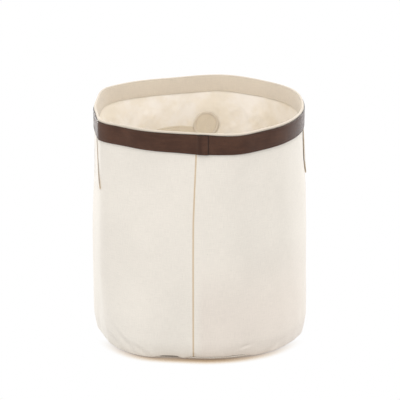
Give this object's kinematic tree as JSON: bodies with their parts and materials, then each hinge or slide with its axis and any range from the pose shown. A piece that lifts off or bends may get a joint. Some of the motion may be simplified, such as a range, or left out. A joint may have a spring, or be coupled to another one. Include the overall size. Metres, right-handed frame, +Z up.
{
  "type": "fabric storage bin",
  "caption": "Round soft-sided canvas storage bin, open at the top, with a lining, a leather band round the rim and a hanging strap loop on each side.",
  "frame": {"origin": "middle of the underside, on the surface that the bin stands on", "axes": "+Z up through the open top; the front seam faces -Y and the strap loops hang on the -X and +X sides"},
  "size_m": [0.4047, 0.404, 0.438],
  "materials": {
    "canvas": "matt cotton canvas",
    "interlining": "matt felt",
    "lining": "soft coated cloth",
    "board": "grey board",
    "facing": "matt cotton canvas",
    "leather": "smooth, slightly glossy",
    "strap": "matt cotton canvas",
    "patch": "matt cotton cloth",
    "pale_thread": "cotton thread",
    "brown_thread": "polyester thread"
  },
  "bodies": {
    "bin": {"wall_panel": "canvas", "wall_interlining": "interlining", "wall_lining": "lining", "wall_seam_thread": "pale_thread", "base_panel": "canvas", "base_board": "board", "base_lining": "lining", "base_seam_thread": "pale_thread", "rim_facing": "facing", "facing_hem_thread": "pale_thread", "rim_band": "leather", "band_lower_thread": "brown_thread", "band_upper_thread": "brown_thread", "band_lap_thread": "brown_thread", "left_handle_root": "strap", "left_handle_lower_stitches": "brown_thread", "left_handle_upper_stitches": "brown_thread", "right_handle_root": "strap", "right_handle_lower_stitches": "brown_thread", "right_handle_upper_stitches": "brown_thread", "arched_patch": "patch", "round_patch": "patch", "round_patch_thread": "pale_thread"},
    "left_loop": {"left_handle": "strap"},
    "right_loop": {"right_handle": "strap"}
  },
  "joints": [
    {"name": "left_handle_lift", "type": "hinge", "parent": "bin", "child": "left_loop", "pos_m": [-0.1947, -0.0485, 0.3983], "axis": [-0.1222, 0.9925, 0], "range_deg": [0, 170]},
    {"name": "right_handle_lift", "type": "hinge", "parent": "bin", "child": "right_loop", "pos_m": [0.1977, 0.0138, 0.3983], "axis": [0.0415, -0.9991, 0], "range_deg": [0, 170]}
  ]
}
